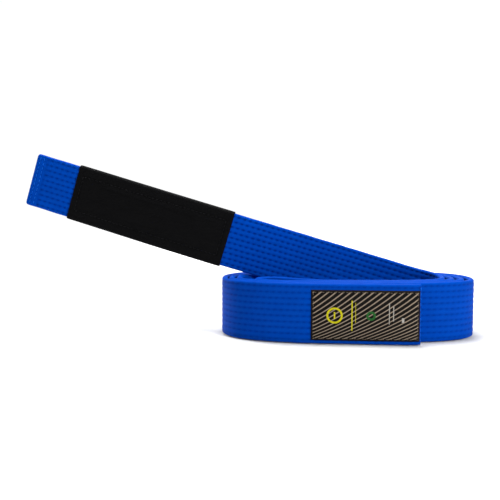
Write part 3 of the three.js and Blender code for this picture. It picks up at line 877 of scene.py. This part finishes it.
def label_material():
    material, nodes, links, shader = new_material("woven_label")
    uv = uv_map(nodes)
    split = nodes.new("ShaderNodeSeparateXYZ")
    links.new(uv, split.inputs[0])
    x, y = split.outputs[0], split.outputs[1]

    def op(*values):
        return math_node(nodes, links, *values)

    def clamped(result):
        result.node.use_clamp = True
        return result

    def bar(cx, cy, wx, wy):
        dx = op("ABSOLUTE", op("SUBTRACT", x, cx))
        dy = op("ABSOLUTE", op("SUBTRACT", y, cy))
        return op("MINIMUM", op("SUBTRACT", wx / 2, dx), op("SUBTRACT", wy / 2, dy))

    def ring(cx, cy, radius, half_band):
        dx = op("SUBTRACT", x, cx)
        dy = op("SUBTRACT", y, cy)
        far = op("SQRT", op("ADD", op("MULTIPLY", dx, dx), op("MULTIPLY", dy, dy)))
        return op("SUBTRACT", half_band, op("ABSOLUTE", op("SUBTRACT", far, radius)))

    steepness = op("MULTIPLY_ADD", y, STRIPE_FAN, STRIPE_START)
    line = op("SUBTRACT", op("DIVIDE", op("LOGARITHM", steepness, math.e), STRIPE_FAN), x)
    wave = op("SINE", op("MULTIPLY", line, 2 * math.pi * STRIPES_PER_HEIGHT))
    stripe = clamped(op("MULTIPLY_ADD", wave, 2.2, -1.1))
    colour = mix_colour(nodes, links, stripe, DARK_CLOTH, STRIPE_CLOTH)
    edge = op("MINIMUM", op("MINIMUM", x, op("SUBTRACT", LABEL_LENGTH / LABEL_HEIGHT, x)),
              op("MINIMUM", y, op("SUBTRACT", 1.0, y)))
    inside = clamped(op("MULTIPLY", op("SUBTRACT", edge, BORDER_WIDTH), BORDER_SHARPNESS))
    colour = mix_colour(nodes, links, inside, BORDER_CLOTH, colour)
    for kind, numbers, tint in MARKS:
        near = ring(*numbers) if kind == "ring" else bar(*numbers)
        mask = clamped(op("MULTIPLY", near, MARK_SHARPNESS))
        colour = mix_colour(nodes, links, mask, colour, tint)
    noise = noise_node(nodes, links, uv, 60.0)
    warp, weft = (op("SINE", op("MULTIPLY", axis, 2 * math.pi * threads))
                  for axis, threads in zip((x, y), LABEL_WEAVE))
    weave = op("MULTIPLY", op("MULTIPLY", warp, weft), 0.5)
    shade = op("MULTIPLY", op("ABSOLUTE", weave), 0.35)
    colour = mix_colour(nodes, links, shade, colour, WEAVE_SHADE)
    links.new(colour, shader.inputs["Base Color"])
    height = op("ADD", weave, op("ADD", op("MULTIPLY", stripe, 0.8), op("MULTIPLY", noise, 0.3)))
    add_relief(nodes, links, shader, height, *LABEL_RELIEF)
    links.new(op("MULTIPLY_ADD", noise, 0.2, 0.5), shader.inputs["Roughness"])
    shader.inputs["Specular IOR Level"].default_value = 0.08
    return material


def add_label():
    along, wide = LABEL_GRID
    lengths = np.linspace(LABEL_START_MM, LABEL_END_MM, along + 1)
    places = np.linspace(LABEL_LOW, LABEL_TOP, wide + 1)
    place, _, normal, across = PATH.at(lengths)
    u, v = np.meshgrid(lengths, places, indexing="ij")
    edge = np.minimum(np.minimum(u - lengths[0], lengths[-1] - u),
                      np.minimum(v - places[0], places[-1] - v))
    seam_depth, seam_width = LABEL_SEAM
    seam = np.exp(-(((edge - LABEL_SEAM_INSET) / seam_width) ** 2))
    rise = LABEL_RISE * np.sqrt(np.clip(edge / LABEL_EDGE_RUN, 0, 1)) - seam_depth * seam
    rise += 0.05 * value_noise(u / 7 + v / 9, LABEL_SEEDS[0])
    rise += 0.03 * value_noise(v / 3.9, LABEL_SEEDS[1])
    base = HALF_THICKNESS - LABEL_SINK
    wander = wander_along(lengths)[:, None]
    sheets = []
    for height in (base + LABEL_LIFT + rise, base + 0 * rise):
        offset = (height * FACE_OUT + wander)[..., None]
        sheet = place[:, None, :] + across[:, None, :] * v[..., None] + normal[:, None, :] * offset
        sheets.append(sheet.reshape(-1, 3))
    index = np.arange((along + 1) * (wide + 1)).reshape(along + 1, wide + 1)
    corners = [index[:-1, :-1], index[1:, :-1], index[1:, 1:], index[:-1, 1:]]
    grid = np.stack(corners, -1).reshape(-1, 4)
    low = grid[:, ::-1] + index.size
    rim = np.concatenate([index[:, 0], index[-1, 1:], index[::-1, -1][1:], index[0, ::-1][1:-1]])
    ahead = np.roll(rim, -1)
    sides = np.stack([rim, rim + index.size, ahead + index.size, ahead], -1)
    # the label reads from left to right as it faces out, so its map runs back from its far end
    uv = np.stack([(lengths[-1] - u) / LABEL_HEIGHT, (v - places[0]) / LABEL_HEIGHT], -1)
    uv = np.concatenate([uv.reshape(-1, 2)] * 2)
    label = make_object("woven_label_patch", to_row(np.concatenate(sheets)),
                        np.concatenate([grid, low, sides]), uv)
    orient(label)
    finish_piece(label, label_material(), "label_flap", ["woven_label"])
    inset = LABEL_SEAM_INSET
    runs = frame_runs(LABEL_START_MM + inset, LABEL_END_MM - inset, LABEL_LOW + inset,
                      LABEL_TOP - inset, LABEL_STITCH_PITCH, LABEL_STITCH_SHARE,
                      HALF_THICKNESS + LABEL_STITCH_LIFT, FACE_OUT)
    thread = stitches("label_border_thread", runs, *LABEL_STITCH_SIZE)
    finish_piece(thread, LABEL_THREAD, "label_flap", ["label_border_stitching"])


add_label()


# ---------------------------------------------------------------- hem stitching
HEM_STITCHES = 11
HEM_FIRST = -17.5
HEM_PITCH = 3.3
HEM_STITCH = 2.2
TIP_HEM_THREADS = (3.55, 6.75)  # lengths back from the tip
TIP_HEM_SINK = 0.12
TIP_HEM_SIZE = (0.5, 0.4)
LABEL_END_HEM_SINK = 0.2
LABEL_END_HEM_SIZE = (0.45, 0.35)


def hem_runs(length, sink, side):
    """One line of stitches across a face of the belt."""
    runs = []
    for k in range(HEM_STITCHES):
        v = HEM_FIRST + k * HEM_PITCH
        p, out = surface_point(length, v, CLOTH_HALF_THICKNESS - sink, side)
        q, _ = surface_point(length, v + HEM_STITCH, CLOTH_HALF_THICKNESS - sink, side)
        runs.append((p, q, out))
    return runs


def add_hems():
    for side, node in ((1, "tip_hem_stitching_inner"), (-1, "tip_hem_stitching_outer")):
        runs = []
        for back in TIP_HEM_THREADS:
            runs += hem_runs(PATH.end - back, TIP_HEM_SINK, side)
        piece = stitches(f"{node}_thread", runs, *TIP_HEM_SIZE)
        finish_piece(piece, BLUE_THREAD, "tip", [node])
    runs = hem_runs(LABEL_END_HEM_LINE, LABEL_END_HEM_SINK, FACE_OUT)
    piece = stitches("label_end_hem_thread", runs, *LABEL_END_HEM_SIZE)
    finish_piece(piece, BLUE_THREAD, "label_flap", ["label_end_hem_stitching"])


add_hems()


# ---------------------------------------------------------------- floor, lights; metres here
FLOOR_REACH = 4.0
FLOOR_DROP = 0.0003
FLOOR_GLOW = (0.2, 0.8, 0.05, 0.95)  # from and to which distance, and the glow at each
WORLD_GLOW = (0.5, 0.93, 0.16, 1.04)  # the same by how far back a direction points
FLOOR_TONES = ((0.6, 0.6, 0.6), (0.63, 0.63, 0.63))
WHITE = (1, 1, 1, 1)


def add_floor():
    mesh = bpy.data.meshes.new("floor")
    corners = [(x * FLOOR_REACH, y * FLOOR_REACH, 0) for x, y in ((-1, -1), (1, -1), (1, 1), (-1, 1))]
    mesh.from_pydata(corners, [], [(0, 1, 2, 3)])
    floor = bpy.data.objects.new("floor", mesh)
    floor.location.z = -FLOOR_DROP
    bpy.context.scene.collection.objects.link(floor)
    material, nodes, links, shader = new_material("floor")
    noise = noise_node(nodes, links, None, 3.0)
    links.new(mix_colour(nodes, links, noise, *FLOOR_TONES), shader.inputs["Base Color"])
    shader.inputs["Roughness"].default_value = 0.9
    shader.inputs["Specular IOR Level"].default_value = 0.1
    shader.inputs["Emission Color"].default_value = WHITE
    place = nodes.new("ShaderNodeTexCoord")
    away = nodes.new("ShaderNodeVectorMath")
    away.operation = "LENGTH"
    links.new(place.outputs["Object"], away.inputs[0])
    glow = map_range(nodes, links, away.outputs["Value"], *FLOOR_GLOW)
    links.new(glow, shader.inputs["Emission Strength"])
    mesh.materials.append(material)


def add_light(name, place, size, power):
    data = bpy.data.lights.new(name, "AREA")
    data.shape = "RECTANGLE"
    data.size, data.size_y = size
    data.energy = power
    light = bpy.data.objects.new(name, data)
    light.location = place
    towards = Vector(LIT_CENTRE) - Vector(place)
    light.rotation_euler = towards.to_track_quat("-Z", "Y").to_euler()
    bpy.context.scene.collection.objects.link(light)


def add_world():
    """A soft studio: bright behind the belt and dim on the camera's side."""
    world = bpy.data.worlds.new("studio")
    bpy.context.scene.world = world
    world.use_nodes = True
    nodes, links = world.node_tree.nodes, world.node_tree.links
    background = nodes["Background"]
    place = nodes.new("ShaderNodeTexCoord")
    split = nodes.new("ShaderNodeSeparateXYZ")
    links.new(place.outputs["Generated"], split.inputs[0])
    glow = map_range(nodes, links, split.outputs[1], *WORLD_GLOW)
    links.new(glow, background.inputs["Strength"])
    background.inputs["Color"].default_value = WHITE


add_floor()
add_world()
LIT_CENTRE = (0.06, 0.0, 0.03)
LIGHTS = (("key", (0.85, -0.75, 0.5), (0.25, 0.25), 13),
          ("left_rim", (-0.75, 0.55, 0.35), (0.15, 0.4), 9),
          ("right_rim", (0.3, 1.0, 0.7), (0.25, 0.4), 3),
          ("top", (0.0, 0.1, 1.0), (0.5, 0.4), 16))
for light_values in LIGHTS:
    add_light(*light_values)
bpy.context.scene.view_settings.view_transform = "Standard"
